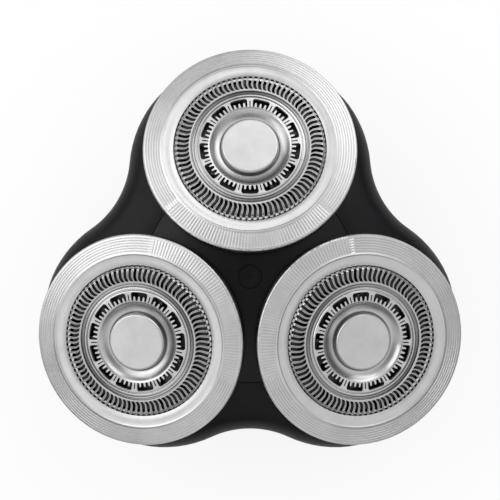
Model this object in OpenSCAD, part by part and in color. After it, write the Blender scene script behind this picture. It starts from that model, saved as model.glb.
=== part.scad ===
// Rotary shaver head: three sprung shaving heads on a geared drive base.
// Origin on the unit's axis at the foot of the coupling stem, +Z towards the skin.
// Head 1 lies along +Y, heads 2 and 3 follow every 120 degrees.

/* [Layout] */
// Distance of each head's centre from the unit's axis
head_r = 20.3; // [20.1:0.1:21]
// Outward lean of each head in degrees
head_lean = 17; // [16:0.5:18]
// Height of the heads' rim centres above the gear plate
head_rise = 14; // [13.9:0.1:15]
// Swing of a head pressed by the skin, in degrees
head_swing = 4; // [1:0.5:4]
// Running clearance between moving pieces
run_gap = 0.06; // [0.05:0.01:0.08]
// Gap between pieces that are fitted together
fit_gap = 0.05; // [0.03:0.01:0.06]

/* [Skin rings] */
// Outer diameter of a silver ring
ring_d = 34; // [33:0.1:34.4]
// Width of the ridged rim
rim_w = 2.9; // [2.4:0.1:3]
// Rise of the rim from its outer edge inwards
rim_rise = 0.45; // [0.3:0.05:0.6]
// Width of the bright bevel inside the rim
bevel_w = 1; // [0.8:0.1:1.1]
// Width of the smooth band beside the guard
band_w = 1.05; // [0.9:0.05:1.2]
// Depth of the ring's outer edge
ring_skirt = 1.2; // [1:0.1:1.3]
// Thickness of the ring's outer edge
skirt_t = 0.8; // [0.6:0.1:0.9]
// Angle of the radially ribbed sector that faces the unit's axis
rib_sector = 102; // [80:2:120]
// Spacing of the radial ribs in degrees
rib_pitch = 1.8; // [1.8:0.2:3]
// Depth of the ribs and of the round ridges
ridge_depth = 0.07; // [0.04:0.01:0.1]
// Number of round ridges across the rim
ridge_count = 7; // [4:1:9]

/* [Guards] */
// Height of the shaving tracks above the rim's edge
shave_top = 1.15; // [1:0.05:1.3]
// Thickness of the guard's sheet
guard_t = 0.35; // [0.3:0.01:0.4]
// Number of slots in the outer track
slot_count = 84; // [60:2:90]
// Width of a slot
slot_w = 0.4; // [0.3:0.02:0.44]
// Width of the outer track
outer_track_w = 2.8; // [2.6:0.1:2.9]
// Width of the grooved land between the tracks
land_w = 1.2; // [1.1:0.1:1.3]
// Width of the inner track
inner_track_w = 1.5; // [1.4:0.1:1.6]
// Number of windows in the inner track
window_count = 13; // [9:1:15]
// Number of comb teeth in a window
comb_teeth = 4; // [2:1:5]
// Radius of the centre cap
cap_r = 4.5; // [4.2:0.1:4.6]
// Height of the centre cap above the shaving tracks
cap_proud = 0.25; // [0.1:0.05:0.4]

/* [Cutters] */
// Number of blades in the outer track
outer_blades = 15; // [9:1:18]
// Number of blades in the inner track
inner_blades = 9; // [6:1:10]
// Thickness of the blades
blade_t = 0.45; // [0.35:0.05:0.5]
// Forward lean of the blades, as a slope
blade_rake = 0.45; // [0.2:0.05:0.6]
// Outer radius of the cutter's hub
hub_r = 3.2; // [3.1:0.1:3.3]
// Depth of the drive ball's centre below the rim's edge
ball_drop = 3.5; // [3.4:0.1:3.6]
// Radius of the drive ball
ball_r = 1.5; // [1.4:0.05:1.55]
// Play of the drive ball in the hub's socket
ball_play = 0.55; // [0.5:0.05:0.6]

/* [Hair chambers] */
// Depth of a chamber's underside below the rim's edge
bowl_depth = 9.6; // [9.2:0.1:9.7]
// Wall of the chambers
bowl_t = 0.9; // [0.8:0.05:1]
// Radius of the round lower edge
bowl_round = 4.2; // [3.5:0.1:4.4]
// Inner radius of the drive opening
chimney_r = 4.6; // [4.4:0.1:4.7]
// Height of the wall round the drive opening
chimney_h = 5.2; // [4.5:0.1:5.4]
// Radius of the hinge pins under the chambers
pod_pin_r = 0.7; // [0.5:0.05:0.8]
// Radius of the hinge pins of the covers
cover_pin_r = 0.45; // [0.35:0.05:0.5]

/* [Gear train] */
// Teeth on the central gear
sun_teeth = 45; // [45:3:48]
// Teeth on each spindle gear
planet_teeth = 18; // [18:1:20]
// Thickness of the gears
gear_h = 2.8; // [2.4:0.1:3]
// Play between the gears' teeth
backlash = 0.12; // [0.08:0.02:0.16]
// Radius of the central drive shaft
shaft_r = 2.5; // [2.3:0.1:2.6]

/* [Housing] */
// Outer radius of the coupling stem
stem_r = 9.5; // [9:0.1:10]
// Height of the coupling stem
stem_h = 8; // [7:0.5:9]
// Wall of the stem and of the housing
wall = 1.2; // [1:0.05:1.3]
// Distance of the three lobes' centres from the axis
lobe_c = 17.2; // [17:0.1:17.4]
// Radius of the lobes
lobe_r = 19.6; // [19.4:0.1:19.8]
// Distance of the waist between two lobes from the axis
waist_r = 24.7; // [24.3:0.1:24.9]
// Height of the housing's round underside
belly_h = 10; // [9:0.5:10.5]
// Size of the underside's flat foot as a share of the outline
belly_scale = 0.62; // [0.6:0.01:0.66]
// Radius of the domed top
dome_r = 55; // [54:0.5:58]
// Depth of the dome's crown below the heads' rim centres, negative for above
dome_drop = -1.8; // [-2:0.1:-1.6]
// Radius of the seam between the centre cover and the frame
seam_r = 16.9; // [16:0.1:17.4]

/* [Hidden] */
HEADS = [1, 2, 3];
HEAD_PARTS = ["skin_ring", "head_cover", "guard", "guard_cap", "cutter", "cutter_hub",
              "retaining_frame", "pod_bowl", "cover_pin", "pod_pin", "pod_spring",
              "planet_gear", "drive_spindle", "spindle_spring"];
$fn = 96;
head_angles = [90, 210, 330];
lead = 0.01;
far = 60;

// Heights in the unit's frame
floor_t = wall;
gear_gap = 0.3;
gear_z = stem_h + floor_t + gear_gap;
plate_t = 1.2;
plate_z = gear_z + gear_h + gear_gap;
plate_top = plate_z + plate_t;
head_z = plate_top + head_rise;
dome_top = head_z - dome_drop;
dome_t = 1.3;
dome_centre = dome_top - dome_r;

// The skin ring's section, heights measured from its outer edge
ring_r = ring_d / 2;
rim_r = ring_r - rim_w;
band_r = rim_r - bevel_w;
ring_hole_r = band_r - band_w;
band_z = 0.3;
ring_under = -0.55;
edge_r = 0.35;
rim_slope = atan(rim_rise / rim_w);
ridge_pitch = (rim_w - 2 * edge_r) / (ridge_count + 0.5);

// The guard's section
guard_r = ring_hole_r - 0.1;
shoulder_r = 0.65;
land_outer = guard_r - outer_track_w;
land_inner = land_outer - land_w;
dish_r = land_inner - inner_track_w;
land_depth = 0.17;
dish_depth = 0.73;
cap_well = 0.4;
cap_hole_r = 1.2;
flange_r = guard_r + 0.85;
flange_top = -1.25;
slot_end = 0.35;
slot_foot = 0.1;

// The cutter and its hub
blade_top = shave_top - guard_t - run_gap;
blade_side = 0.2;
cutter_t = 0.45;
cutter_top = -0.6;
cutter_bore = 1.7;
hub_flange_r = 4.2;
hub_flange_t = 0.45;
hub_flange_top = cutter_top - cutter_t - fit_gap;
hub_foot = -ball_drop - 2.1;
ball_flats = 0.9;
ball_half = 1.2;
socket_flat_r = ball_r + ball_play - 0.15;
socket_top = -ball_drop + ball_r + 0.15;
socket_mouth = 1;

// The cover that carries ring, guard and cutter
cover_inset = 1.2;
cover_r = ring_r - cover_inset;
cover_foot = -2.4;
cover_top = ring_under - fit_gap;
lip_foot = flange_top + fit_gap;
keeper_r = flange_r;
keeper_top = flange_top - guard_t - fit_gap;
keeper_foot = keeper_top - 1.25;
keeper_w = 1.8;
keeper_eye_r = hub_r + 0.7;
keeper_eye_w = 1.2;
spoke_w = 1.6;
spoke_t = 0.95;
lug_reach = 0.5;
lug_w = 3;

// The hinge between cover and chamber, at the outer edge
lid_x = cover_r + 0.1;
lid_z = cover_foot - 0.05;
lid_knuckle_r = 1;
lid_mid_w = 3;
lid_end_w = 2;
lid_gap = 0.15;
catch_w = 4;
catch_t = 0.7;
catch_drop = 1.6;

// The hair chamber
bowl_r = cover_r;
bowl_top = cover_foot - 0.1;
bowl_foot = -bowl_depth;
chimney_t = 0.9;

// The hinge under each chamber, in the head's frame and in the unit's
pod_knuckle_r = 1.3;
pod_hinge_x = -10.5;
pod_hinge_z = bowl_foot - pod_knuckle_r - 0.3;
pod_lug_w = 3.8;
pod_ear_w = 1.4;
pod_ear_gap = 0.2;
function unit_u(x, z) = head_r + x * cos(head_lean) + z * sin(head_lean);
function unit_z(x, z) = head_z - x * sin(head_lean) + z * cos(head_lean);
pod_u = unit_u(pod_hinge_x, pod_hinge_z);
pod_w = unit_z(pod_hinge_x, pod_hinge_z);
pod_pin_l = pod_lug_w + 2 * (pod_ear_gap + pod_ear_w);

// The spindle stands upright under the drive ball
spindle_u = unit_u(0, -ball_drop);
ball_z = unit_z(0, -ball_drop);
spindle_neck_r = 0.85;
spindle_r = 1.2;
collar_r = 2.05;
collar_t = 0.6;
planet_hub_r = 2.4;
planet_hub_top = plate_top + 1.5;
spindle_foot = gear_z + 1.5;
spindle_travel = (spindle_u - pod_u) * sin(head_swing) + 0.3;
spindle_spring_h = 3.7;
spindle_collar_z = planet_hub_top + spindle_spring_h;
spring_wire = 0.18;
spring_turns = 4;
spring_seat = 0.04;

// The spring under each chamber
pod_spring_u = pod_u + 4.6;
pod_spring_r = 1.35;
pod_boss_z = unit_z(pod_hinge_x + 3.6, bowl_foot) - 0.5;

// The gears
module_mm = 2 * spindle_u / (sun_teeth + planet_teeth);
pressure = 25;
addendum = module_mm;
dedendum = 1.25 * module_mm;
sun_pitch_r = module_mm * sun_teeth / 2;
planet_pitch_r = module_mm * planet_teeth / 2;
gear_clear = 0.5;
journal_r = 1.5;
journal_l = 0.8;
drive_hex_r = 1.7;
drive_hex_h = 4;
shaft_foot = 2;
bearing_foot = 3.5;
key_w = 2;
key_depth = 0.7;
key_foot = 1;
screw_r = 0.8;
screw_head_r = 1.5;
screw_u = sun_pitch_r + addendum + gear_clear + wall + 1.1;
screw_boss_r = 2;
screw_boss_foot = stem_h + floor_t + 0.3;

// The housing's tri-lobed form: three lobes joined by three round waists
lobe_steps = 18;
waist_steps = 6;
belly_z = stem_h;
rim_turn = acos(1 - (plate_top - belly_z) / belly_h);
lobe_half = lobe_c * cos(60);
lobe_side = lobe_c * sin(60);
waist_lead = waist_r - lobe_half;
waist_round = (pow(waist_lead, 2) + pow(lobe_side, 2) - pow(lobe_r, 2)) / (2 * (lobe_r - waist_lead));
waist_c = waist_r + waist_round;
form_top = dome_top + 4;
mouth_gap = 0.5;
mouth_r = cover_r + mouth_gap;
column_r = 2.6;
column_top = dome_top - 3.2;
centre_screw_r = 0.9;
centre_head_r = 1.7;

// Points along a round stretch of an outline
function arc(centre, r, from, to, steps) =
    [for (i = [0:steps]) let (a = from + (to - from) * i / steps)
        centre + r * [cos(a), sin(a)]];

// The left-hand normal of a stretch from a to b
function left_normal(a, b) = let (d = b - a) [-d[1], d[0]] / norm(d);

// A path moved to its left by t, with mitred corners
function beside(path, t) =
    [for (i = [0:len(path) - 1])
        let (last = len(path) - 2,
             before = left_normal(path[max(i - 1, 0)], path[max(i - 1, 0) + 1]),
             after = left_normal(path[min(i, last)], path[min(i, last) + 1]))
        path[i] + t * (before + after) / (1 + before * after)];

function reversed(list) = [for (i = [len(list) - 1:-1:0]) list[i]];

// The closed section of a sheet of thickness t on the left of a path
function sheet(path, t) = concat(path, reversed(beside(path, t)));

function polar(r, a) = [r * cos(a), r * sin(a)];

// Turns its children to each head's direction
module at_side(n) { rotate([0, 0, head_angles[n - 1]]) children(); }

// Places its children in a head's leaning frame: +X outwards, +Z towards the skin
module at_head(n) {
    at_side(n) translate([head_r, 0, head_z]) rotate([0, head_lean, 0]) children();
}

// Gear teeth: half a tooth's angle at radius r on an involute flank
function involute(a) = tan(a) * 180 / PI - a;
function flank_angle(r, pitch_r, teeth) =
    let (base_r = pitch_r * cos(pressure), a = r > base_r ? acos(base_r / r) : 0)
    90 / teeth - backlash / 4 / pitch_r * 180 / PI + involute(pressure) - involute(a);

module gear_shape(teeth) {
    pitch_r = module_mm * teeth / 2;
    root_r = pitch_r - dedendum;
    tip_r = pitch_r + addendum;
    base_r = max(root_r + lead, pitch_r * cos(pressure));
    radii = [root_r, base_r, pitch_r, (pitch_r + tip_r) / 2, tip_r];
    polygon([for (i = [0:teeth - 1])
        each concat(
            [for (r = radii) polar(r, i * 360 / teeth - flank_angle(r, pitch_r, teeth))],
            [for (r = reversed(radii)) polar(r, i * 360 / teeth + flank_angle(r, pitch_r, teeth))])]);
}

// A coil spring standing on z = 0
module coil(r, height, turns) {
    steps = 14;
    sides = 6;
    rings = turns * steps;
    rise = height - 2 * spring_wire;
    points = [for (i = [0:rings]) for (k = [0:sides - 1])
        let (a = i * 360 / steps, b = k * 360 / sides, q = r + spring_wire * cos(b))
        [q * cos(a), q * sin(a), spring_wire + rise * i / rings + spring_wire * sin(b)]];
    skin = [for (i = [0:rings - 1]) for (k = [0:sides - 1])
        let (k2 = (k + 1) % sides)
        [i * sides + k, i * sides + k2, (i + 1) * sides + k2, (i + 1) * sides + k]];
    first = [for (k = [sides - 1:-1:0]) k];
    last = [for (k = [0:sides - 1]) rings * sides + k];
    polyhedron(points, [for (f = concat(skin, [first, last])) reversed(f)]);
}

// Silver ring that the skin slides over: round ridges, and radial ribs towards the axis
function ring_edge() = arc([ring_r - edge_r, -edge_r], edge_r, 0, 90, 3);

function ring_section() = concat(
    [[ring_r - skirt_t, -ring_skirt], [ring_r, -ring_skirt]],
    ring_edge(),
    [[rim_r, rim_rise], [rim_r - 0.2, rim_rise + 0.1], [band_r, band_z],
     [ring_hole_r, band_z - 0.08], [ring_hole_r, ring_under], [ring_r - skirt_t, ring_under]]);

module skin_ring(n) {
    color("silver") at_head(n) difference() {
        rotate_extrude() polygon(ring_section());
        rotate([0, 0, 180 + rib_sector / 2]) for (i = [1:ridge_count])
            rotate_extrude(angle = 360 - rib_sector) ridge_groove(i * ridge_pitch + edge_r);
        for (a = [-rib_sector / 2 + rib_pitch:rib_pitch:rib_sector / 2 - rib_pitch / 2])
            rotate([0, 0, 180 + a]) rib_groove();
    }
}

// The groove between two round ridges, at a run inwards from the ring's edge
module ridge_groove(run) {
    half = 0.3 * ridge_pitch;
    top = rim_rise * run / rim_w;
    polygon([[ring_r - run - half, top + lead], [ring_r - run, top - ridge_depth],
             [ring_r - run + half, top + lead]]);
}

// The furrow between two radial ribs, along the rim's slope
module rib_groove() {
    width = 0.42 * rib_pitch * PI / 180 * rim_r;
    translate([rim_r + 0.1, 0, rim_rise])
        rotate([0, rim_slope, 0])
            translate([0, -width / 2, -ridge_depth]) cube([rim_w, width, 1]);
}

// Black cover under the ring, hinged to the chamber at its outer edge
module head_cover(n) {
    color("dimgray") at_head(n) {
        difference() {
            rotate_extrude() polygon([
                [keeper_r + 0.1, cover_foot], [cover_r, cover_foot], [cover_r, cover_top],
                [ring_hole_r, cover_top], [ring_hole_r, lip_foot], [keeper_r + 0.1, lip_foot]]);
            for (side = [-1, 1]) lid_knuckle(side, lid_knuckle_r + lid_gap, lid_end_w + lid_gap);
            lid_bore(cover_pin_r + run_gap);
            for (a = [60, 180, 300]) rotate([0, 0, a])
                translate([keeper_r - 0.5, -lug_w / 2 - 0.1, cover_foot - lead])
                    cube([lug_reach + 0.6, lug_w + 0.2, keeper_top - cover_foot + 0.1]);
        }
        difference() {
            union() {
                lid_middle(lid_knuckle_r, lid_mid_w);
                translate([lid_x - 1.6, -lid_mid_w / 2, lid_z + 0.1])
                    cube([1.6, lid_mid_w, cover_top - lid_z - 0.6]);
            }
            lid_bore(cover_pin_r + run_gap);
        }
        translate([-bowl_r + bowl_t + 0.15, -catch_w / 2, cover_foot - catch_drop])
            cube([catch_t, catch_w, catch_drop + lead]);
        translate([-bowl_r + bowl_t + 0.15, -catch_w / 2, cover_foot - lead])
            cube([catch_t, catch_w, 0.5]);
    }
}

// Knuckles and bore of the cover's hinge
module lid_middle(r, w) {
    translate([lid_x, w / 2, lid_z]) rotate([90, 0, 0]) cylinder(r = r, h = w);
}

module lid_knuckle(side, r, w) {
    centre = side * (lid_mid_w / 2 + lid_gap + lid_end_w / 2);
    translate([lid_x, centre + w / 2, lid_z]) rotate([90, 0, 0]) cylinder(r = r, h = w);
}

module lid_bore(r) {
    translate([lid_x, far / 2, lid_z]) rotate([90, 0, 0]) cylinder(r = r, h = far);
}

// Steel guard: slotted outer track, windowed inner track, dished centre
function guard_path() = concat(
    [[flange_r, flange_top], [guard_r, flange_top]],
    arc([guard_r - shoulder_r, shave_top - shoulder_r], shoulder_r, 0, 90, 2),
    [[land_outer + 0.1, shave_top], [land_outer - 0.1, shave_top - land_depth],
     [land_inner + 0.1, shave_top - land_depth], [land_inner - 0.1, shave_top],
     [dish_r + 0.15, shave_top]],
    arc([dish_r - 1, shave_top + 0.15], 1, -20, -75, 3),
    [[cap_r + cap_well, shave_top - dish_depth], [cap_hole_r, shave_top - dish_depth]]);

module guard(n) {
    color("gainsboro") at_head(n) difference() {
        rotate_extrude() polygon(sheet(guard_path(), guard_t));
        for (i = [0:slot_count - 1]) rotate([0, 0, i * 360 / slot_count])
            translate([0, 0, slot_foot]) linear_extrude(shave_top + 1) slot_shape();
        for (i = [0:window_count - 1]) rotate([0, 0, i * 360 / window_count])
            translate([0, 0, shave_top - guard_t - 0.1]) linear_extrude(1) window_shape();
    }
}

// One bent slot, seen from above
module slot_shape() {
    inner = land_outer + slot_end;
    knee = inner + 0.5 * (guard_r - inner);
    heel = inner + 0.8 * (guard_r - inner);
    line = [[inner, 1], [knee, -0.9], [heel, 0.5], [guard_r + slot_end, 0.5]];
    polygon(concat(
        [for (p = line) polar(p[0], p[1] - slot_w / 2 / p[0] * 180 / PI)],
        [for (p = reversed(line)) polar(p[0], p[1] + slot_w / 2 / p[0] * 180 / PI)]));
}

// One window of the inner track, with its comb teeth
module window_shape() {
    outer = land_inner - 0.2;
    inner = dish_r + 0.2;
    tip = inner + 0.58 * (outer - inner);
    half = 180 / window_count - 1.6;
    step = 2 * half / (comb_teeth + 0.6);
    tooth = 0.3 * step;
    polygon(concat(
        [for (i = [4:-1:-4]) polar(outer, i / 4 * half)],
        [polar(inner, -half)],
        [for (k = [0:comb_teeth - 1])
            let (c = (k - (comb_teeth - 1) / 2) * step)
            each [polar(inner, c - tooth), polar(tip, c - 0.6 * tooth),
                  polar(tip, c + 0.6 * tooth), polar(inner, c + tooth)]],
        [polar(inner, half)]));
}

// Plain round cap in the guard's dish
module guard_cap(n) {
    foot = shave_top - dish_depth + fit_gap;
    top = shave_top + cap_proud;
    color("silver") at_head(n) rotate_extrude() polygon(concat(
        [[0, foot - 0.75], [cap_hole_r - fit_gap, foot - 0.75], [cap_hole_r - fit_gap, foot],
         [cap_r, foot]],
        arc([cap_r - 0.3, top - 0.3], 0.3, 0, 90, 3),
        [[0, top]]));
}

// Steel cutter: a ring of raked blades for each track
module cutter(n) {
    outer_in = land_outer + 0.35;
    outer_out = guard_r - guard_t - blade_side;
    inner_in = dish_r + guard_t + blade_side;
    inner_out = land_inner - guard_t - blade_side + 0.2;
    color("lightgray") at_head(n) {
        difference() {
            translate([0, 0, cutter_top - cutter_t]) cylinder(r = outer_out - 0.1, h = cutter_t);
            translate([0, 0, cutter_top - 1]) cylinder(r = cutter_bore, h = 2);
            for (i = [0:5]) rotate([0, 0, i * 60])
                translate([0, 0, cutter_top - 1]) linear_extrude(2) cutter_opening();
        }
        blade_ring(outer_blades, outer_in, outer_out);
        blade_ring(inner_blades, inner_in, inner_out);
    }
}

module cutter_opening() {
    polygon(concat(arc([0, 0], dish_r, -22, 22, 6), arc([0, 0], hub_flange_r + 0.4, 22, -22, 6)));
}

module blade_ring(count, from, to) {
    rise = blade_top - cutter_top + 0.2;
    for (i = [0:count - 1]) rotate([0, 0, i * 360 / count])
        translate([from, 0, cutter_top - 0.2]) rotate([90, 0, 90]) linear_extrude(to - from)
            polygon([[0, 0], [blade_t, 0], [blade_t + blade_rake * rise, rise], [blade_rake * rise, rise]]);
}

// Plastic hub under the cutter, with the six-sided socket for the drive ball
module cutter_hub(n) {
    color("darkslategray") at_head(n) difference() {
        rotate_extrude() polygon([
            [0, hub_foot], [hub_r, hub_foot], [hub_r, hub_flange_top - hub_flange_t],
            [hub_flange_r, hub_flange_top - hub_flange_t], [hub_flange_r, hub_flange_top],
            [cutter_bore - fit_gap, hub_flange_top], [cutter_bore - fit_gap, cutter_top + 0.1],
            [0, cutter_top + 0.1]]);
        translate([0, 0, hub_foot - 1]) rotate([0, 0, 30])
            cylinder(r = socket_flat_r / cos(30), h = socket_top - hub_foot + 1, $fn = 6);
        translate([0, 0, hub_foot - lead])
            cylinder(r1 = hub_r - 0.4, r2 = socket_flat_r - 0.1, h = socket_mouth);
    }
}

// Frame that holds guard and cutter in the cover
module retaining_frame(n) {
    color("black") at_head(n) {
        difference() {
            translate([0, 0, keeper_foot]) cylinder(r = keeper_r, h = keeper_top - keeper_foot);
            translate([0, 0, keeper_foot - 1]) cylinder(r = keeper_r - keeper_w, h = far);
        }
        difference() {
            eye_top = hub_flange_top - hub_flange_t - 0.15;
            union() {
                translate([0, 0, eye_top - spoke_t]) cylinder(r = keeper_eye_r + keeper_eye_w, h = spoke_t);
                for (a = [0, 120, 240]) rotate([0, 0, a])
                    translate([keeper_eye_r, -spoke_w / 2, eye_top - spoke_t])
                        cube([keeper_r - keeper_eye_r - 0.5, spoke_w, spoke_t]);
            }
            translate([0, 0, keeper_foot - 2]) cylinder(r = keeper_eye_r, h = far);
        }
        for (a = [60, 180, 300]) rotate([0, 0, a])
            translate([keeper_r - 0.6, -lug_w / 2, cover_foot])
                cube([lug_reach + 0.5, lug_w, keeper_top - cover_foot]);
    }
}

// Hair chamber: a round bowl with a drive opening, hinged to the gear plate
function bowl_path() = concat(
    [[chimney_r, bowl_foot]],
    arc([bowl_r - bowl_round, bowl_foot + bowl_round], bowl_round, -90, 0, 6),
    [[bowl_r, bowl_top]]);

module pod_bowl(n) {
    color("black") {
        at_head(n) {
            difference() {
                union() {
                    rotate_extrude() polygon(sheet(bowl_path(), bowl_t));
                    for (side = [-1, 1]) lid_knuckle(side, lid_knuckle_r, lid_end_w);
                    for (side = [-1, 1]) lid_bracket(side);
                }
                lid_bore(cover_pin_r + fit_gap);
                lid_middle(lid_knuckle_r + lid_gap, lid_mid_w + 2 * lid_gap);
            }
            translate([0, 0, bowl_foot]) difference() {
                cylinder(r = chimney_r + chimney_t, h = chimney_h);
                translate([0, 0, -1]) cylinder(r = chimney_r, h = chimney_h + 2);
            }
            difference() {
                union() {
                    translate([pod_hinge_x - pod_knuckle_r, -pod_lug_w / 2, pod_hinge_z])
                        cube([2 * pod_knuckle_r, pod_lug_w, bowl_foot - pod_hinge_z + bowl_t / 2]);
                    translate([pod_hinge_x, pod_lug_w / 2, pod_hinge_z]) rotate([90, 0, 0])
                        cylinder(r = pod_knuckle_r, h = pod_lug_w);
                }
                translate([pod_hinge_x, far / 2, pod_hinge_z]) rotate([90, 0, 0])
                    cylinder(r = pod_pin_r + run_gap, h = far);
            }
        }
        intersection() {
            at_side(n) translate([pod_spring_u, 0, pod_boss_z])
                cylinder(r = pod_spring_r + 0.45, h = 4);
            at_head(n) translate([-bowl_r, -bowl_r, bowl_foot - 4]) cube([2 * bowl_r, 2 * bowl_r, 4 + bowl_t / 2]);
        }
    }
}

// Web between an end knuckle and the chamber's wall
module lid_bracket(side) {
    centre = side * (lid_mid_w / 2 + lid_gap + lid_end_w / 2);
    intersection() {
        translate([lid_x - 1.6, centre - lid_end_w / 2, lid_z - 2.2]) cube([1.6, lid_end_w, 2.2]);
        translate([0, 0, bowl_foot]) cylinder(r = bowl_r, h = bowl_depth);
    }
}

// Steel pin of the cover's hinge
module cover_pin(n) {
    length = lid_mid_w + 2 * (lid_gap + lid_end_w);
    color("silver") at_head(n) translate([lid_x, length / 2, lid_z]) rotate([90, 0, 0])
        cylinder(r = cover_pin_r, h = length);
}

// Steel pin that carries a chamber on the gear plate
module pod_pin(n) {
    color("silver") at_side(n) translate([pod_u, pod_pin_l / 2, pod_w]) rotate([90, 0, 0])
        cylinder(r = pod_pin_r, h = pod_pin_l);
}

// Spring that lifts a chamber to its rest
module pod_spring(n) {
    color("silver") at_side(n) translate([pod_spring_u, 0, plate_top + spring_seat])
        coil(pod_spring_r, pod_boss_z - plate_top - 2 * spring_seat, spring_turns + 1);
}

// Planet gear with a hub in which the spindle slides
module planet_gear(n) {
    sun_phase = sun_teeth * head_angles[n - 1];
    turn = 180 - (180 - sun_phase) / planet_teeth;
    color("white") at_side(n) translate([spindle_u, 0, 0]) difference() {
        union() {
            translate([0, 0, gear_z]) linear_extrude(gear_h) rotate(turn) gear_shape(planet_teeth);
            translate([0, 0, gear_z - gear_gap]) cylinder(r = planet_pitch_r - dedendum - 0.4, h = gear_gap + lead);
            translate([0, 0, gear_z - gear_gap - journal_l]) cylinder(r = journal_r, h = journal_l + 1);
            translate([0, 0, gear_z]) cylinder(r = planet_hub_r, h = planet_hub_top - gear_z);
        }
        translate([0, 0, spindle_foot - spindle_travel - 0.1])
            cylinder(r = (spindle_r + run_gap) / cos(30), h = far, $fn = 6);
    }
}

// Spindle with the drive ball on top, sliding in its gear
module drive_spindle(n) {
    color("whitesmoke") at_side(n) translate([spindle_u, 0, 0]) {
        translate([0, 0, spindle_foot])
            cylinder(r = spindle_r / cos(30), h = planet_hub_top + 0.5 - spindle_foot, $fn = 6);
        translate([0, 0, planet_hub_top]) cylinder(r = spindle_r, h = spindle_spring_h + lead);
        translate([0, 0, spindle_collar_z]) cylinder(r = collar_r, h = collar_t);
        translate([0, 0, spindle_collar_z]) cylinder(r = spindle_neck_r, h = ball_z - spindle_collar_z);
        translate([0, 0, ball_z]) intersection() {
            sphere(r = ball_r);
            translate([0, 0, -ball_half]) rotate([0, 0, 30])
                cylinder(r = ball_flats * ball_r / cos(30), h = 2 * ball_half, $fn = 6);
        }
    }
}

// Spring that presses the spindle up against the cutter
module spindle_spring(n) {
    color("silver") at_side(n) translate([spindle_u, 0, planet_hub_top + spring_seat])
        coil(spindle_r + spring_wire + 0.26, spindle_spring_h - 2 * spring_seat, spring_turns);
}

// Central gear on the drive shaft, with a six-sided socket for the handle's drive
module sun_gear() {
    color("white") difference() {
        union() {
            translate([0, 0, gear_z]) linear_extrude(gear_h) gear_shape(sun_teeth);
            translate([0, 0, shaft_foot]) cylinder(r = shaft_r, h = gear_z - shaft_foot + 1);
            translate([0, 0, gear_z - gear_gap + fit_gap]) cylinder(r = shaft_r + 1.5, h = gear_gap);
            translate([0, 0, gear_z]) cylinder(r = journal_r, h = gear_h + gear_gap + journal_l);
        }
        translate([0, 0, shaft_foot - 1]) cylinder(r = drive_hex_r, h = drive_hex_h + 1, $fn = 6);
    }
}

// The outline of the gear case, grown by a margin
module case_shape(margin) {
    circle(r = sun_pitch_r + addendum + margin);
    for (a = head_angles) rotate(a) translate([spindle_u, 0])
        circle(r = planet_pitch_r + addendum + margin);
}

// Plate over the gears: bearings, hinge ears, spring spigots and the centre column
module gear_plate() {
    color("dimgray") difference() {
        union() {
            translate([0, 0, plate_z]) linear_extrude(plate_t) case_shape(gear_clear + wall);
            cylinder_from(plate_z, column_top, column_r);
            for (a = head_angles) rotate([0, 0, a]) {
                for (side = [-1, 1]) hinge_ear(side);
                translate([pod_spring_u, 0, plate_top - lead])
                    cylinder(r = pod_spring_r - spring_wire - 0.1, h = 1.2);
                rotate([0, 0, 60]) translate([screw_u, 0, plate_z]) cylinder(r = screw_boss_r, h = plate_t);
            }
        }
        translate([0, 0, plate_z - lead]) cylinder(r = journal_r + run_gap, h = journal_l + 0.2);
        translate([0, 0, column_top - 5]) cylinder(r = centre_screw_r + fit_gap, h = 6);
        for (a = head_angles) rotate([0, 0, a]) {
            translate([spindle_u, 0, 0]) cylinder(r = planet_hub_r + run_gap, h = far);
            translate([pod_u, far / 4, pod_w]) rotate([90, 0, 0])
                cylinder(r = pod_pin_r + fit_gap, h = far / 2);
            rotate([0, 0, 60]) translate([screw_u, 0, 0]) cylinder(r = screw_r + fit_gap, h = far);
        }
    }
}

module cylinder_from(low, high, r) {
    translate([0, 0, low]) cylinder(r = r, h = high - low);
}

// One ear of a chamber's hinge
module hinge_ear(side) {
    inner = pod_lug_w / 2 + pod_ear_gap;
    y = side > 0 ? inner : -inner - pod_ear_w;
    translate([pod_u, y, pod_w]) rotate([-90, 0, 0]) cylinder(r = pod_knuckle_r, h = pod_ear_w);
    translate([pod_u - pod_knuckle_r, y, plate_top - lead])
        cube([2 * pod_knuckle_r, pod_ear_w, pod_w - plate_top + lead]);
}

// Three screws that hold the gear plate on the base
module plate_screws() {
    color("silver") for (a = head_angles) rotate([0, 0, a + 60]) translate([screw_u, 0, 0]) {
        cylinder_from(plate_z - 3, plate_top + 0.5, screw_r);
        cylinder_from(plate_top, plate_top + 0.9, screw_head_r);
    }
}

// The tri-lobed outline, taken in by an inset
function outline(inset) =
    let (to_waist = polar(waist_c, 60) - [lobe_c, 0],
         side = atan2(to_waist[1], to_waist[0]),
         third = concat(
             arc([lobe_c, 0], lobe_r - inset, -side, side, lobe_steps),
             arc(polar(waist_c, 60), waist_round + inset, 180 + side, 300 - side, waist_steps)),
         kept = [for (i = [0:len(third) - 2]) if (i != lobe_steps) third[i]])
    [for (a = [0, 120, 240]) for (p = kept) turned(p, head_angles[0] + a)];

function turned(p, a) = [p[0] * cos(a) - p[1] * sin(a), p[0] * sin(a) + p[1] * cos(a)];

// A level of the round underside: height, size and inset of the outline
function belly_level(t, inset) =
    [belly_z + belly_h * (1 - cos(t)) + inset, belly_scale + (1 - belly_scale) * sin(t), inset];

// The levels of the underside up to an angle
function belly(to, inset, steps) = [for (i = [0:steps]) belly_level(to * i / steps, inset)];

// The levels between the base's edge and the widest place
function flank(inset) = [for (t = [(rim_turn + 90) / 2, 90]) belly_level(t, inset)];

// The housing's outer form, or the hollow inside it when there is an inset
module form(inset) {
    lofted(concat(belly(rim_turn, inset, 5), flank(inset), [[form_top + inset, 1, inset]]));
}

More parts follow.
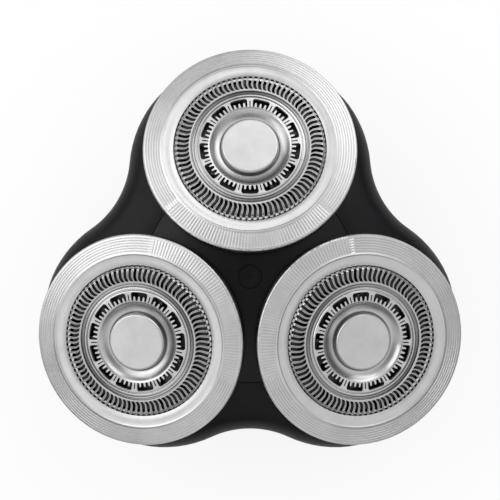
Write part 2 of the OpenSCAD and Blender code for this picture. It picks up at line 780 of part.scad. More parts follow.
// A solid through a list of levels
module lofted(levels) {
    rings = [for (level = levels) [for (p = outline(level[2])) [p[0] * level[1], p[1] * level[1], level[0]]]];
    count = len(rings[0]);
    sides = [for (i = [0:len(levels) - 2]) for (k = [0:count - 1])
        let (k2 = (k + 1) % count)
        [i * count + k, (i + 1) * count + k, (i + 1) * count + k2, i * count + k2]];
    bottom = [for (k = [0:count - 1]) k];
    top = [for (k = [count - 1:-1:0]) (len(levels) - 1) * count + k];
    polyhedron([for (ring = rings) each ring], concat(sides, [bottom, top]));
}

// The base's round shell, open at the top
module base_shell() {
    inner_turn = acos(1 - (plate_top - belly_z - wall) / belly_h);
    lofted(concat(belly(rim_turn, 0, 5), reversed(belly(inner_turn, wall, 5))));
}

// Base: coupling stem, round underside and the gear case
module base_housing() {
    color("black") difference() {
        union() {
            base_shell();
            translate([0, 0, stem_h + floor_t / 2]) linear_extrude(plate_z - stem_h - floor_t / 2)
                case_shape(gear_clear + wall);
            for (a = head_angles) rotate([0, 0, a + 60]) translate([screw_u, 0, 0])
                cylinder_from(screw_boss_foot, plate_z, screw_boss_r);
            stem();
        }
        translate([0, 0, stem_h + floor_t - lead]) linear_extrude(far) case_shape(gear_clear);
        cylinder_from(-1, far, shaft_r + run_gap);
        for (a = head_angles) rotate([0, 0, a]) {
            translate([spindle_u, 0, 0])
                cylinder_from(stem_h + floor_t - journal_l - 0.1, far, journal_r + run_gap);
            rotate([0, 0, 60]) translate([screw_u, 0, 0]) cylinder_from(plate_z - 3.3, far, screw_r + fit_gap);
        }
    }
}

// Coupling stem with its snap groove and inner keys, and the bearing of the drive shaft
module stem() {
    bore = stem_r - wall - 0.6;
    rotate_extrude() polygon([
        [bore, 0], [stem_r, 0], [stem_r, 3], [stem_r - 0.5, 3.5], [stem_r - 0.5, 4.5], [stem_r, 5],
        [stem_r, stem_h + floor_t / 2], [bore, stem_h + floor_t / 2]]);
    for (a = head_angles) rotate([0, 0, a + 60]) translate([bore - key_depth, -key_w / 2, key_foot])
        cube([key_depth + 0.2, key_w, stem_h + floor_t / 2 - key_foot]);
    cylinder_from(bearing_foot, stem_h + floor_t / 2, shaft_r + wall);
}

// Everything that the leaning heads need to pass through the top
module head_mouths() {
    for (n = HEADS) at_head(n) translate([0, 0, -far / 2]) cylinder(r = mouth_r, h = far);
}

// Tri-lobed frame with a domed top and three round openings
module outer_frame() {
    color("black") difference() {
        intersection() {
            form(0);
            translate([0, 0, dome_centre]) sphere(r = dome_r);
            cylinder_from(plate_top + fit_gap, form_top, far);
        }
        intersection() {
            form(wall);
            translate([0, 0, dome_centre]) sphere(r = dome_r - dome_t);
            cylinder_from(plate_top - 1, form_top, far);
        }
        cylinder_from(dome_top - 10, form_top, seam_r);
        head_mouths();
    }
}

// Three-armed centre cover between the heads
module centre_cover() {
    color("black") difference() {
        union() {
            difference() {
                dome(dome_r, plate_top, seam_r - 0.12);
                dome(dome_r - dome_t, plate_top - 1, seam_r + 1);
                head_mouths();
            }
            cylinder_from(column_top + fit_gap, dome_top - 0.5, column_r - 0.2);
        }
        cylinder_from(column_top - 1, form_top, centre_screw_r + fit_gap);
        cylinder_from(dome_top - 0.5, form_top, centre_head_r + 0.25);
    }
}

// The domed top's round form, from a height up
module dome(r, foot, edge) {
    intersection() {
        cylinder_from(foot, form_top, edge);
        translate([0, 0, dome_centre]) sphere(r = r);
    }
}

// Screw at the middle of the centre cover
module centre_screw() {
    color("black") difference() {
        union() {
            cylinder_from(column_top - 4.5, dome_top, centre_screw_r);
            cylinder_from(dome_top - 0.45, dome_top + 0.15, centre_head_r);
        }
        cylinder_from(dome_top - 0.15, dome_top + 1, 0.45);
    }
}

base_housing();
gear_plate();
plate_screws();
sun_gear();
outer_frame();
centre_cover();
centre_screw();
skin_ring(1);  // skin_ring_1
skin_ring(2);  // skin_ring_2
skin_ring(3);  // skin_ring_3
head_cover(1);  // head_cover_1
head_cover(2);  // head_cover_2
head_cover(3);  // head_cover_3
guard(1);  // guard_1
guard(2);  // guard_2
guard(3);  // guard_3
guard_cap(1);  // guard_cap_1
guard_cap(2);  // guard_cap_2
guard_cap(3);  // guard_cap_3
cutter(1);  // cutter_1
cutter(2);  // cutter_2
cutter(3);  // cutter_3
cutter_hub(1);  // cutter_hub_1
cutter_hub(2);  // cutter_hub_2
cutter_hub(3);  // cutter_hub_3
retaining_frame(1);  // retaining_frame_1
retaining_frame(2);  // retaining_frame_2
retaining_frame(3);  // retaining_frame_3
pod_bowl(1);  // pod_bowl_1
pod_bowl(2);  // pod_bowl_2
pod_bowl(3);  // pod_bowl_3
cover_pin(1);  // cover_pin_1
cover_pin(2);  // cover_pin_2
cover_pin(3);  // cover_pin_3
pod_pin(1);  // pod_pin_1
pod_pin(2);  // pod_pin_2
pod_pin(3);  // pod_pin_3
pod_spring(1);  // pod_spring_1
pod_spring(2);  // pod_spring_2
pod_spring(3);  // pod_spring_3
planet_gear(1);  // planet_gear_1
planet_gear(2);  // planet_gear_2
planet_gear(3);  // planet_gear_3
drive_spindle(1);  // drive_spindle_1
drive_spindle(2);  // drive_spindle_2
drive_spindle(3);  // drive_spindle_3
spindle_spring(1);  // spindle_spring_1
spindle_spring(2);  // spindle_spring_2
spindle_spring(3);  // spindle_spring_3
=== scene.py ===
"""Rotary shaver head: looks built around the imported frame."""
import math
import bpy
import numpy as np
from mathutils import Matrix, Vector


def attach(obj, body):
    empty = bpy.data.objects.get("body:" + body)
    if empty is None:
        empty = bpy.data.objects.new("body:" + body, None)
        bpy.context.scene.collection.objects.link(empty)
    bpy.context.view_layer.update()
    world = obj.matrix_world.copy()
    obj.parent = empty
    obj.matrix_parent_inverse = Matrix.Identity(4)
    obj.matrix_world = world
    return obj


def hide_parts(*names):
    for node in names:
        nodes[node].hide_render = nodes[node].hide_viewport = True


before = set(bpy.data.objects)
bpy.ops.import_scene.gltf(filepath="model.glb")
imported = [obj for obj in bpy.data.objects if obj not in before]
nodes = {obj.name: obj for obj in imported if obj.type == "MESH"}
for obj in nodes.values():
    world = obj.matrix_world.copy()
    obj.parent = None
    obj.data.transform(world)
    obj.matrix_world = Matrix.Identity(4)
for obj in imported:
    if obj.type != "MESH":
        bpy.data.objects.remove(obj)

MM = 0.001
HEADS = {1: 90, 2: 210, 3: 330}
HEAD_R, HEAD_Z, LEAN = 20.3, 27.8, 17.0
DOME_TOP, DOME_R, PLATE_TOP = 29.6, 55.0, 13.8
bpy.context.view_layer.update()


def head_matrix(n):
    """The leaning frame of a head, in metres."""
    return (Matrix.Rotation(math.radians(HEADS[n]), 4, "Z")
            @ Matrix.Translation(Vector((HEAD_R, 0, HEAD_Z)) * MM)
            @ Matrix.Rotation(math.radians(LEAN), 4, "Y"))


# Materials

class Nodes:
    """A short way to write a node material."""

    def __init__(self, name):
        self.mat = bpy.data.materials.new(name)
        self.mat.use_nodes = True
        self.tree = self.mat.node_tree
        self.shader = self.tree.nodes["Principled BSDF"]

    def node(self, kind, **values):
        made = self.tree.nodes.new(kind)
        for key, value in values.items():
            setattr(made, key, value)
        return made

    def feed(self, target, value):
        if hasattr(value, "links"):
            self.tree.links.new(value, target)
        else:
            target.default_value = value

    def math(self, kind, a, b=0.0, clamp=False):
        made = self.node("ShaderNodeMath", operation=kind, use_clamp=clamp)
        self.feed(made.inputs[0], a)
        self.feed(made.inputs[1], b)
        return made.outputs[0]

    def in_head(self, n):
        """The place in the leaning frame of head n, the distance from its axis and the way round it."""
        place = self.node("ShaderNodeTexCoord").outputs["Object"]
        matrix = head_matrix(n)
        turn = self.node("ShaderNodeMapping", vector_type="TEXTURE")
        self.feed(turn.inputs["Vector"], place)
        turn.inputs["Location"].default_value = matrix.to_translation()
        turn.inputs["Rotation"].default_value = matrix.to_euler()
        apart = self.node("ShaderNodeSeparateXYZ")
        self.feed(apart.inputs[0], turn.outputs[0])
        x, y = apart.outputs[0], apart.outputs[1]
        square = self.math("ADD", self.math("MULTIPLY", x, x), self.math("MULTIPLY", y, y))
        away = self.node("ShaderNodeVectorMath", operation="SUBTRACT")
        self.feed(away.inputs[0], place)
        away.inputs[1].default_value = matrix.to_translation()
        across = self.node("ShaderNodeVectorMath", operation="CROSS_PRODUCT")
        across.inputs[0].default_value = matrix.to_3x3().col[2]
        self.feed(across.inputs[1], away.outputs[0])
        world = self.node("ShaderNodeVectorTransform", vector_type="VECTOR", convert_from="OBJECT",
                          convert_to="WORLD")
        self.feed(world.inputs[0], across.outputs[0])
        return turn.outputs[0], self.math("SQRT", square), world.outputs[0]

    def near(self, value, middle, reach):
        """One at a middle value, and nothing further off than a reach."""
        off = self.math("ABSOLUTE", self.math("SUBTRACT", value, middle))
        return self.math("SUBTRACT", 1.0, self.math("DIVIDE", off, reach), clamp=True)

    def darker(self, colour, share, low):
        made = self.node("ShaderNodeMix", data_type="RGBA")
        self.feed(made.inputs[0], share)
        self.feed(made.inputs[6], colour)
        made.inputs[7].default_value = (*low, 1)
        return made.outputs[2]

    def noise(self, place, scale, detail=4.0, rough=0.6):
        made = self.node("ShaderNodeTexNoise")
        self.feed(made.inputs["Vector"], place)
        made.inputs["Scale"].default_value = scale
        made.inputs["Detail"].default_value = detail
        made.inputs["Roughness"].default_value = rough
        return made.outputs["Fac"]

    def along(self, value, scale, detail=3.0):
        """Noise along one value, such as a radius."""
        made = self.node("ShaderNodeTexNoise", noise_dimensions="1D")
        self.feed(made.inputs["W"], value)
        made.inputs["Scale"].default_value = scale
        made.inputs["Detail"].default_value = detail
        return made.outputs["Fac"]

    def spread(self, value, low, high):
        made = self.node("ShaderNodeMapRange")
        self.feed(made.inputs["Value"], value)
        made.inputs["From Min"].default_value = 0.3
        made.inputs["From Max"].default_value = 0.7
        made.inputs["To Min"].default_value = low
        made.inputs["To Max"].default_value = high
        return made.outputs[0]

    def colours(self, value, low, high):
        made = self.node("ShaderNodeMix", data_type="RGBA")
        self.feed(made.inputs[0], self.spread(value, 0.0, 1.0))
        made.inputs[6].default_value = (*low, 1)
        made.inputs[7].default_value = (*high, 1)
        return made.outputs[2]

    def bump(self, height, strength, distance):
        made = self.node("ShaderNodeBump")
        made.inputs["Strength"].default_value = strength
        made.inputs["Distance"].default_value = distance
        self.feed(made.inputs["Height"], height)
        return made.outputs[0]


# Where painted shade darkens a guard: middle and reach of the dish, the grooved land and the well round
# the cap
DISH_R, DISH_REACH = 5.7, 0.9
LAND_R, LAND_REACH = 9.1, 0.6
WELL_R, WELL_REACH = 4.68, 0.3


def turned_metal(name, n, low, high, rough, grain, cut, anisotropic=0.5, guard=False):
    """Metal of head n with round turning marks. On a guard, painted shade darkens the middle of each bar,
    the dish, the grooved land and the well round the cap.
    """
    m = Nodes(f"{name}_{n}")
    place, r, tangent = m.in_head(n)
    fine = m.along(r, grain)
    broad = m.noise(place, 260.0)
    colour = m.colours(broad, low, high)
    if guard:
        # Painted shade across the middle of each bar, read from the points' attribute bar
        painted_bar_shade = m.node("ShaderNodeAttribute", attribute_name="bar").outputs["Fac"]
        dish = m.near(r, DISH_R * MM, DISH_REACH * MM)
        land = m.near(r, LAND_R * MM, LAND_REACH * MM)
        # Painted shade: the bars' middles, the dish and the grooved land are darkened towards dark grey
        for painted_shade_zone, share in ((painted_bar_shade, 0.7), (dish, 0.45), (land, 0.6)):
            colour = m.darker(colour, m.math("MULTIPLY", painted_shade_zone, share), grey(0.12))
        # Painted shadow: the well round the cap is darkened almost to black
        colour = m.darker(colour, m.near(r, WELL_R * MM, WELL_REACH * MM), grey(0.01))
    m.feed(m.shader.inputs["Base Color"], colour)
    m.shader.inputs["Metallic"].default_value = 1.0
    mixed = m.math("MULTIPLY", m.math("ADD", fine, broad), 0.5)
    m.feed(m.shader.inputs["Roughness"], m.spread(mixed, *rough))
    m.shader.inputs["Anisotropic"].default_value = anisotropic
    m.feed(m.shader.inputs["Tangent"], tangent)
    m.feed(m.shader.inputs["Normal"], m.bump(fine, cut, 0.00002))
    return m.mat


def plain_metal(name, low, high, rough, scale=900.0, cut=0.15):
    m = Nodes(name)
    place = m.node("ShaderNodeTexCoord").outputs["Object"]
    fine = m.noise(place, scale)
    m.feed(m.shader.inputs["Base Color"], m.colours(m.noise(place, 200.0), low, high))
    m.shader.inputs["Metallic"].default_value = 1.0
    m.feed(m.shader.inputs["Roughness"], m.spread(fine, *rough))
    m.feed(m.shader.inputs["Normal"], m.bump(fine, cut, 0.00002))
    return m.mat


def moulded(name, low, high, rough, spark=2500.0, cut=0.25, specular=0.5):
    """Moulded plastic with a fine eroded grain."""
    m = Nodes(name)
    place = m.node("ShaderNodeTexCoord").outputs["Object"]
    grain = m.noise(place, spark, 2.0)
    m.feed(m.shader.inputs["Base Color"], m.colours(m.noise(place, 90.0), low, high))
    m.feed(m.shader.inputs["Roughness"], m.spread(m.noise(place, 400.0), *rough))
    m.shader.inputs["Specular IOR Level"].default_value = specular
    m.feed(m.shader.inputs["Normal"], m.bump(grain, cut, 0.00003))
    return m.mat


def grey(v, tint=0.0):
    return (v, v, v + tint)


MATS = {
    "blade": plain_metal("ground_steel", grey(0.03), grey(0.07), (0.3, 0.5)),
    "pin": plain_metal("drawn_steel", grey(0.5), grey(0.62), (0.18, 0.3)),
    "black": moulded("satin_black", grey(0.005, 0.0012), grey(0.009, 0.002), (0.3, 0.42), 2500.0, 0.2,
                     0.16),
    "gloss": moulded("gloss_black", grey(0.003), grey(0.006), (0.18, 0.28), 1500.0, 0.12, 0.2),
    "grey": moulded("dark_grey", grey(0.012, 0.001), grey(0.02, 0.002), (0.36, 0.5), 2500.0, 0.25,
                    0.3),
    "white": moulded("natural_white", (0.72, 0.71, 0.66), (0.8, 0.79, 0.74), (0.35, 0.48), 1800.0, 0.15),
}
for n in HEADS:
    MATS[f"rim_{n}"] = turned_metal("satin_rim", n, grey(0.58), grey(0.67), (0.26, 0.38), 26000.0,
                                    0.3, 0.4)
    MATS[f"steel_{n}"] = turned_metal("turned_steel", n, grey(0.5), grey(0.64), (0.1, 0.22), 30000.0,
                                      0.3, 0.3, True)
    MATS[f"cap_{n}"] = turned_metal("satin_cap", n, grey(0.56), grey(0.66), (0.28, 0.4), 9000.0,
                                    0.2, 0.2)
WEARS = {"base_housing": "black", "gear_plate": "grey", "plate_screws": "pin", "sun_gear": "white",
         "outer_frame": "black", "centre_cover": "gloss", "centre_screw": "gloss", "skin_ring": "rim",
         "head_cover": "grey", "guard": "steel", "guard_cap": "cap", "cutter": "blade",
         "cutter_hub": "grey", "retaining_frame": "black", "pod_bowl": "black", "cover_pin": "pin",
         "pod_pin": "pin", "pod_spring": "pin", "planet_gear": "white", "drive_spindle": "white",
         "spindle_spring": "pin"}


def dress(obj, mat):
    obj.data.materials.clear()
    obj.data.materials.append(mat)


for name, obj in nodes.items():
    wear = WEARS[name.rstrip("0123456789").rstrip("_")]
    dress(obj, MATS.get(f"{wear}_{name[-1]}") or MATS[wear])


# Meshes

FORM_EDGE = 30.0
CUT_EDGE = 32.0


def piece(name, form, matrix, mat, sharp=FORM_EDGE):
    """A mesh from its points, faces and painted shades, placed by its points like the nodes."""
    verts, faces = form[:2]
    turn = np.array(matrix)
    mesh = bpy.data.meshes.new(name)
    mesh.from_pydata([tuple(v) for v in verts @ turn[:3, :3].T + turn[:3, 3]], [], faces)
    if len(form) == 3:
        # The painted shade is stored on the points as the attribute bar
        mesh.attributes.new("bar", "FLOAT", "POINT").data.foreach_set("value", form[2])
    obj = bpy.data.objects.new(name, mesh)
    bpy.context.scene.collection.objects.link(obj)
    mesh.shade_smooth()
    mesh.set_sharp_from_angle(angle=math.radians(sharp))
    mesh.materials.append(mat)
    return obj


def turned_grid(rings):
    """Points and faces of closed rings: an array [ring, column, xyz] whose last ring joins the first."""
    count, columns = rings.shape[:2]
    faces = []
    for i in range(count):
        i2 = (i + 1) % count
        for k in range(columns):
            k2 = (k + 1) % columns
            faces.append((i * columns + k, i * columns + k2, i2 * columns + k2, i2 * columns + k))
    return rings.reshape(-1, 3), faces


# Skin ring: turned rim with round ridges, radial ribs in the sector towards the unit's axis

RIM_OUT, RIM_IN, RIM_STEP = 16.65, 14.1, 0.45
RIB_PITCH, RIB_SECTOR, RIB_DEPTH = 1.8, 51.0, 0.04
RIDGES, RIDGE_DEPTH = 6, 0.075


def skin_ring():
    angles = list(np.arange(-180 + RIB_SECTOR, 180 - RIB_SECTOR, 2.0))
    fine = []
    for i in range(int(2 * RIB_SECTOR / RIB_PITCH)):
        start = 180 - RIB_SECTOR + i * RIB_PITCH
        fine += [start, start + 0.3, start + 0.75, start + 0.95, start + 1.4, start + 1.65]
    angles = np.array(angles + fine)
    phase = np.where(angles >= 180 - RIB_SECTOR, (angles - 180 + RIB_SECTOR) % RIB_PITCH, -1.0)
    rib = np.where(phase < 0, 0.0, np.clip(1 - np.abs(phase - 0.85) / 0.42, 0, 1))
    ribbed = phase >= 0
    path = [(16.2, -0.55), (16.2, -1.15), (16.26, -1.2), (16.9, -1.2), (17.0, -1.1), (17.0, -0.35)]
    path += [(RIM_OUT + 0.35 * math.cos(a), -0.35 + 0.35 * math.sin(a)) for a in np.radians([30, 60, 90])]
    start = len(path)
    pitch = (RIM_OUT - RIM_IN - 0.1) / RIDGES
    for i in range(RIDGES):
        r = RIM_OUT - 0.1 - i * pitch
        path += [(r - step * pitch, depth) for step, depth in ((0, 0), (0.16, 1), (0.28, 1), (0.44, 0))]
    end = len(path)
    tail = [(RIM_IN, RIM_STEP), (14.03, 0.5), (13.95, 0.52), (13.86, 0.5), (13.78, 0.44), (13.7, 0.42),
            (13.0, 0.4), (12.22, 0.37), (12.13, 0.32), (12.12, 0.2), (12.12, -0.55)]
    rings = []
    for i, (r, z) in enumerate(path + tail):
        if start <= i < end:
            slope = (RIM_OUT - r) / (RIM_OUT - RIM_IN) * RIM_STEP
            depth = RIDGE_DEPTH * z * (~ribbed)
            near = 1.0 if RIM_IN + 0.05 < r < RIM_OUT - 0.15 else 0.0
            z = slope - depth - rib * RIB_DEPTH * near
        rings.append(np.stack([r * np.cos(np.radians(angles)), r * np.sin(np.radians(angles)),
                               np.zeros_like(angles) + z], 1))
    return turned_grid(np.array(rings) * MM)


# Guards: thin turned sheets with openings cut through

GUARD_T, SHAVE_TOP = 0.35, 1.15


def sheet_form(path, edges, kept, shade):
    """A revolved sheet. path is (radius, height) from outside in, edges(radius) the columns' angles,
    kept(i, k) whether the cell between rings i and i + 1 at column k is there, shade(i, k) a painted
    shade."""
    path = np.array(path)
    step = np.diff(path, axis=0)
    normal = np.stack([-step[:, 1], step[:, 0]], 1) / np.linalg.norm(step, axis=1)[:, None]
    before, after = np.vstack([normal[:1], normal]), np.vstack([normal, normal[-1:]])
    inner = path + GUARD_T * (before + after) / (1 + (before * after).sum(1))[:, None]
    rings = len(path)
    verts = []
    for side in (path, inner):
        for i, (r, z) in enumerate(side):
            a = np.radians(edges(path[i][0]))
            verts.append(np.stack([r * np.cos(a), r * np.sin(a), np.zeros_like(a) + z], 1))
    columns = len(verts[0])
    faces = []

    def at(side, i, k):
        return (side * rings + i) * columns + k % columns

    there = np.array([[kept(i, k) for k in range(columns)] for i in range(rings - 1)])
    for i in range(rings - 1):
        for k in range(columns):
            if not there[i, k]:
                continue
            faces.append((at(0, i, k), at(0, i, k + 1), at(0, i + 1, k + 1), at(0, i + 1, k)))
            faces.append((at(1, i, k), at(1, i + 1, k), at(1, i + 1, k + 1), at(1, i, k + 1)))
            j = i + 1
            if i == 0 or not there[i - 1, k]:
                faces.append((at(0, i, k), at(1, i, k), at(1, i, k + 1), at(0, i, k + 1)))
            if i == rings - 2 or not there[j, k]:
                faces.append((at(0, j, k), at(0, j, k + 1), at(1, j, k + 1), at(1, j, k)))
            if not there[i, k - 1]:
                faces.append((at(0, i, k), at(0, j, k), at(1, j, k), at(1, i, k)))
            if not there[i, (k + 1) % columns]:
                faces.append((at(0, i, k + 1), at(1, i, k + 1), at(1, j, k + 1), at(0, j, k + 1)))
    verts = np.vstack(verts) * MM
    shades = np.array([shade(i, k) for _ in range(2) for i in range(rings) for k in range(columns)])
    used = np.unique(np.array(faces))
    index = np.full(len(verts), -1)
    index[used] = np.arange(len(used))
    return verts[used], [tuple(index[list(f)]) for f in faces], shades[used]


def outer_track():
    """Slotted track: each slot ends in a foot."""
    slots, half, end = 84, 0.26, 9.66
    path = [(12.8, -1.25), (12.0, -1.25), (11.93, -1.18), (11.92, 0.0), (11.92, 0.62)]
    path += [(11.42 + 0.5 * math.cos(a), 0.65 + 0.5 * math.sin(a)) for a in np.radians([22, 45, 68, 90])]
    path += [(r, SHAVE_TOP) for r in (11.1, 10.8, 10.4, 10.05, 9.85, end)]
    path += [(9.42, 1.14), (9.37, 1.1), (9.34, 0.66), (9.18, 0.66), (9.15, 1.02), (9.04, 1.06),
             (8.93, 1.03), (8.9, 0.68), (8.77, 0.68), (8.74, 1.05), (8.66, 1.08), (8.5, 1.08)]

    def edges(r):
        bend = np.interp(r, [end, 9.9, 10.3, 11.0, 11.6], [-1.5, -0.5, 0.35, 0.1, -0.5])
        w = math.degrees(half / r)
        rest = (360 / slots - 2 * w) / 3
        one = np.array([-w, w, w + rest, w + 2 * rest])
        return (bend + one[None, :] + np.arange(slots)[:, None] * 360 / slots).ravel()

    # The last argument paints shade across the middle of each bar, darker between bright edges
    return sheet_form(path, edges,
                      lambda i, k: k % 4 != 0 or not (3 <= i and path[i + 1][0] >= end - 1e-6),
                      lambda i, k: float(k % 4 in (2, 3) and 11.7 > path[i][0] > end))


def inner_track():
    """Windowed track with comb teeth, and the polished dish round the cap."""
    windows, teeth, slot = 13, 3, 0.75
    pitch, half, step = 360 / windows, 10.4, 6.2
    high, low, tip = 8.0, 6.6, 7.3
    path = [(8.5, 1.08), (8.46, 1.06), (8.43, 0.68), (8.3, 0.68), (8.27, 1.05), (8.18, 1.13)]
    path += [(r, SHAVE_TOP) for r in (8.06, high, 7.9, 7.78, 7.6, tip, 7.22, 6.9, 6.75, low)]
    path += [(6.45, 1.12), (6.3, 1.04), (6.15, 0.92), (5.95, 0.74), (5.7, 0.57), (5.4, 0.44),
             (5.1, 0.36), (4.9, 0.33), (4.7, 0.33), (1.2, 0.42)]
    columns = 2 * teeth + 4

    def edges(r):
        wide = np.interp(r, [low, 7.22, tip], [0.26, 0.15, 0.04]) * step
        side = half * np.interp(r, [low, 6.9, 7.6, 7.78, 7.9, high], [0.97, 1, 1, 0.97, 0.9, 0.78])
        one = [-side]
        for t in range(teeth):
            c = (t - (teeth - 1) / 2) * step
            one += [c - wide, c + wide]
        one += [side, pitch / 2 - slot, pitch / 2 + slot]
        return (np.array(one)[None, :] + (np.arange(windows)[:, None] + 0.5) * pitch).ravel()

    def kept(i, k):
        r_out, r_in = path[i][0], path[i + 1][0]
        place = k % columns
        if r_out > high + 1e-6 or r_in < low - 1e-6:
            return True
        if place == columns - 2:
            return r_out > 7.6 + 1e-6
        if place >= columns - 3:
            return True
        return place % 2 == 1 and r_out <= tip + 1e-6

    return sheet_form(path, edges, kept, lambda i, k: 0.0)


# Housing: smooth tri-lobed forms with rounded shoulders

LOBE_C, LOBE_R, WAIST_R, WALL = 17.2, 19.6, 24.7, 1.2
LEAD = WAIST_R - LOBE_C / 2
SIDE = LOBE_C * math.sin(math.radians(60))
WAIST_ROUND = (LEAD ** 2 + SIDE ** 2 - LOBE_R ** 2) / (2 * (LOBE_R - LEAD))
WAIST_C = WAIST_R + WAIST_ROUND
BELLY_Z, BELLY_H, BELLY_SCALE, SEAM_R, MOUTH_R, ROOF = 8.0, 10.0, 0.62, 16.9, 16.3, 1.3


def outline(inset, lobe_steps=40, waist_steps=16):
    """The unit's outline as an array of points, taken in by an inset."""
    sixty = math.radians(60)
    waist = np.array([WAIST_C * math.cos(sixty), WAIST_C * math.sin(sixty)])
    side = math.atan2(waist[1], waist[0] - LOBE_C)
    a = np.linspace(-side, side, lobe_steps, endpoint=False)
    lobe = np.stack([LOBE_C + (LOBE_R - inset) * np.cos(a), (LOBE_R - inset) * np.sin(a)], 1)
    a = np.linspace(math.pi + side, 5 * math.pi / 3 - side, waist_steps, endpoint=False)
    dip = waist + (WAIST_ROUND + inset) * np.stack([np.cos(a), np.sin(a)], 1)
    third = np.vstack([lobe, dip])
    turns = [math.radians(90 + t) for t in (0, 120, 240)]
    return np.vstack([third @ np.array([[math.cos(t), math.sin(t)], [-math.sin(t), math.cos(t)]])
                      for t in turns])


def belly(z, inset):
    """The outline's size at a height of the round underside."""
    rise = np.clip((z - inset - BELLY_Z) / BELLY_H, 0, 1)
    return BELLY_SCALE + (1 - BELLY_SCALE) * math.sqrt(1 - (1 - rise) ** 2)


def dome(r, drop=0.0):
    return DOME_TOP - DOME_R + np.sqrt((DOME_R - drop) ** 2 - r ** 2)


def level(z, inset):
    flat = outline(inset) * belly(z, inset)
    return np.column_stack([flat, np.full(len(flat), z)])


def toward_seam(share, drop, inset, lower=0.0):
    """A ring on the dome between the outline and the seam circle."""
    flat = outline(inset)
    r = np.linalg.norm(flat, axis=1)[:, None]
    flat = flat * (1 - share) + flat / r * SEAM_R * share
    z = dome(np.linalg.norm(flat, axis=1), drop) - lower
    return np.column_stack([flat, z])


FADE = 1.6


def shoulder_rings(foot):
    """From the wall round the shoulder on to the dome, for each point of the outline."""
    edge = outline(0.0)
    away = np.linalg.norm(edge, axis=1)
    top = dome(away - 2.2)
    radius = np.clip((top - foot) * 0.75, 0.4, 2.6)
    rings = []
    for a in np.radians([0, 15, 30, 45, 60, 75, 90]):
        flat = np.array([outline(i)[k] for k, i in enumerate(radius * (1 - math.cos(a)))])
        z = dome(np.linalg.norm(flat, axis=1)) - radius * (1 - math.sin(a))
        size = np.array([belly(v, 0.0) for v in z])[:, None]
        share = a / FADE
        rings.append(np.column_stack([flat * (size * (1 - share) + share), z]))
    return rings


def frame_form():
    foot = PLATE_TOP + 0.05
    start = shoulder_rings(foot)
    rings = [level(foot, 0.0)]
    for t in (0.35, 0.7):
        rings.append(rings[0] * (1 - t) + start[0] * t)
    rings += start
    rings += [toward_seam(t, 0.0, 2.6) for t in (0.15, 0.4, 0.7)] + [toward_seam(1.0, 0.0, 2.6, 0.25)]
    rings += [toward_seam(1.0, ROOF, 2.6)] + [toward_seam(t, ROOF, 3.0) for t in (0.6, 0.2)]
    rings.append(level(foot, WALL))
    return turned_grid(np.array(rings) * MM)


def plug(r, half, steps=160):
    """A round bar about the axis, to cut with."""
    a = np.linspace(0, 2 * math.pi, steps, endpoint=False)
    ends = [np.stack([r * np.cos(a), r * np.sin(a), np.full(steps, z)], 1) for z in (-half, half)]
    faces = [(k, (k + 1) % steps, steps + (k + 1) % steps, steps + k) for k in range(steps)]
    faces += [tuple(range(steps))[::-1], tuple(range(steps, 2 * steps))]
    return np.vstack(ends) * MM, faces


def cut(obj, cutter):
    """Takes cutter away from obj and leaves no modifier behind."""
    made = obj.modifiers.new("cut", "BOOLEAN")
    made.operation, made.object, made.solver = "DIFFERENCE", cutter, "EXACT"
    bpy.context.view_layer.update()
    mesh = bpy.data.meshes.new_from_object(obj.evaluated_get(bpy.context.evaluated_depsgraph_get()))
    obj.modifiers.clear()
    obj.data = mesh
    bpy.data.objects.remove(cutter)
    mesh.shade_smooth()
    mesh.set_sharp_from_angle(angle=math.radians(CUT_EDGE))


# Camera, light and stage

def look(name, data, place, target=(0, 0, 0), up="Y"):
    obj = bpy.data.objects.new(name, data)
    bpy.context.scene.collection.objects.link(obj)
    obj.location = place
    obj.rotation_euler = (Vector(target) - Vector(place)).to_track_quat("-Z", up).to_euler()
    return obj


lens = bpy.data.cameras.new("camera")
lens.lens, lens.sensor_width = 136.5, 36.0
lens.clip_start = 0.01
CAMERA_Y, CAMERA_Z = 0.0042, 0.328
bpy.context.scene.camera = look("camera", lens, (0, CAMERA_Y, CAMERA_Z), (0, CAMERA_Y, 0))


def softbox(name, place, size, power):
    lamp = bpy.data.lights.new(name, "AREA")
    lamp.shape, lamp.size, lamp.size_y, lamp.energy = "RECTANGLE", size[0], size[1], power
    return look(name, lamp, place, (0, 0, 0.02))


softbox("key", (-0.42, 0.16, 0.38), (0.5, 0.5), 0.85)
softbox("fill", (0.22, 0.42, 0.34), (0.4, 0.4), 0.6)

floor = bpy.data.meshes.new("floor")
FLOOR, FLOOR_Z = 2, -0.0002
corners = ((-FLOOR, -FLOOR), (FLOOR, -FLOOR), (FLOOR, FLOOR), (-FLOOR, FLOOR))
floor.from_pydata([(x, y, FLOOR_Z) for x, y in corners], [], [(0, 1, 2, 3)])
floor_obj = bpy.data.objects.new("floor", floor)
bpy.context.scene.collection.objects.link(floor_obj)
f = Nodes("pale_floor")
f.shader.inputs["Roughness"].default_value = 0.9
f.shader.inputs["Specular IOR Level"].default_value = 0.0
seen = f.node("ShaderNodeLightPath").outputs["Is Camera Ray"]
tone = f.node("ShaderNodeMix", data_type="RGBA")
f.feed(tone.inputs[0], seen)
tone.inputs[6].default_value = (0.86, 0.86, 0.86, 1)
tone.inputs[7].default_value = (0.16, 0.16, 0.16, 1)
f.feed(f.shader.inputs["Base Color"], tone.outputs[2])
f.shader.inputs["Emission Color"].default_value = (1, 1, 1, 1)
f.feed(f.shader.inputs["Emission Strength"], f.math("MULTIPLY", seen, 0.852))
floor.materials.append(f.mat)

world = bpy.data.worlds.new("studio")
bpy.context.scene.world = world
world.use_nodes = True
tree = world.node_tree
back = tree.nodes["Background"]
way = tree.nodes.new("ShaderNodeTexCoord")
apart = tree.nodes.new("ShaderNodeSeparateXYZ")
tree.links.new(way.outputs["Generated"], apart.inputs[0])
ramp = tree.nodes.new("ShaderNodeValToRGB")
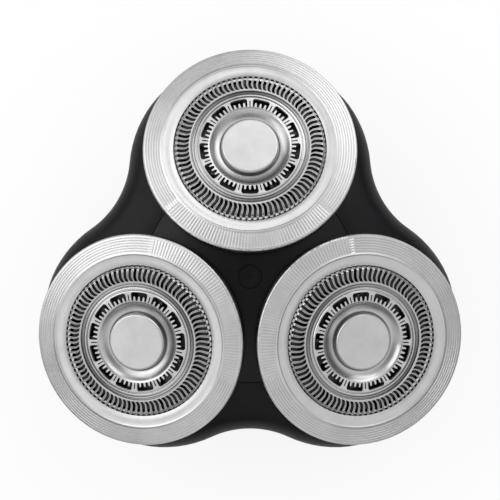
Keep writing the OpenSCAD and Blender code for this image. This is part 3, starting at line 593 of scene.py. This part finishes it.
# Brightness of the studio from straight below, at 0, to straight above, at 1
stops = [(0.0, 0.3), (0.22, 0.16), (0.45, 0.5), (0.62, 0.92), (0.9, 0.95), (0.97, 0.5), (1.0, 0.3)]
ramp.color_ramp.elements.remove(ramp.color_ramp.elements[1])
ramp.color_ramp.elements[0].color = (*grey(stops[0][1]), 1)
for at, value in stops[1:]:
    ramp.color_ramp.elements.new(at).color = (*grey(value), 1)
tree.links.new(apart.outputs[2], ramp.inputs[0])
camera_ray = tree.nodes.new("ShaderNodeLightPath")
mix = tree.nodes.new("ShaderNodeMix")
mix.data_type = "RGBA"
tree.links.new(camera_ray.outputs["Is Camera Ray"], mix.inputs[0])
side = tree.nodes.new("ShaderNodeVectorMath")
side.operation = "DOT_PRODUCT"
side.inputs[1].default_value = (-0.06, 0.1, 0)
tree.links.new(way.outputs["Generated"], side.inputs[0])
shade = tree.nodes.new("ShaderNodeMath")
shade.inputs[1].default_value = 1.0
tree.links.new(side.outputs["Value"], shade.inputs[0])
lit = tree.nodes.new("ShaderNodeVectorMath")
lit.operation = "SCALE"
tree.links.new(ramp.outputs[0], lit.inputs[0])
tree.links.new(shade.outputs[0], lit.inputs["Scale"])
tree.links.new(lit.outputs[0], mix.inputs[6])
mix.inputs[7].default_value = (1, 1, 1, 1)
tree.links.new(mix.outputs[2], back.inputs[0])
bpy.context.scene.view_settings.view_transform = "Standard"


# Pieces of each head

ring_form, outer_form, inner_form = skin_ring(), outer_track(), inner_track()
for n in HEADS:
    parts = [piece(f"{name}_{n}", form, head_matrix(n), MATS[f"steel_{n}"])
             for name, form in (("outer_track", outer_form), ("inner_track", inner_form))]
    for part in parts:
        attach(part, f"cover_{n}")
        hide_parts(f"guard_{n}")
    ring = piece(f"rim_{n}", ring_form, head_matrix(n), MATS[f"rim_{n}"])
    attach(ring, f"cover_{n}")
    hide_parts(f"skin_ring_{n}")

shell = piece("frame_shell", frame_form(), Matrix(), MATS["black"], 35.0)
for n in HEADS:
    cut(shell, piece("mouth", plug(MOUTH_R, 30), head_matrix(n), MATS["black"]))
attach(shell, "root")
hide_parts("outer_frame")
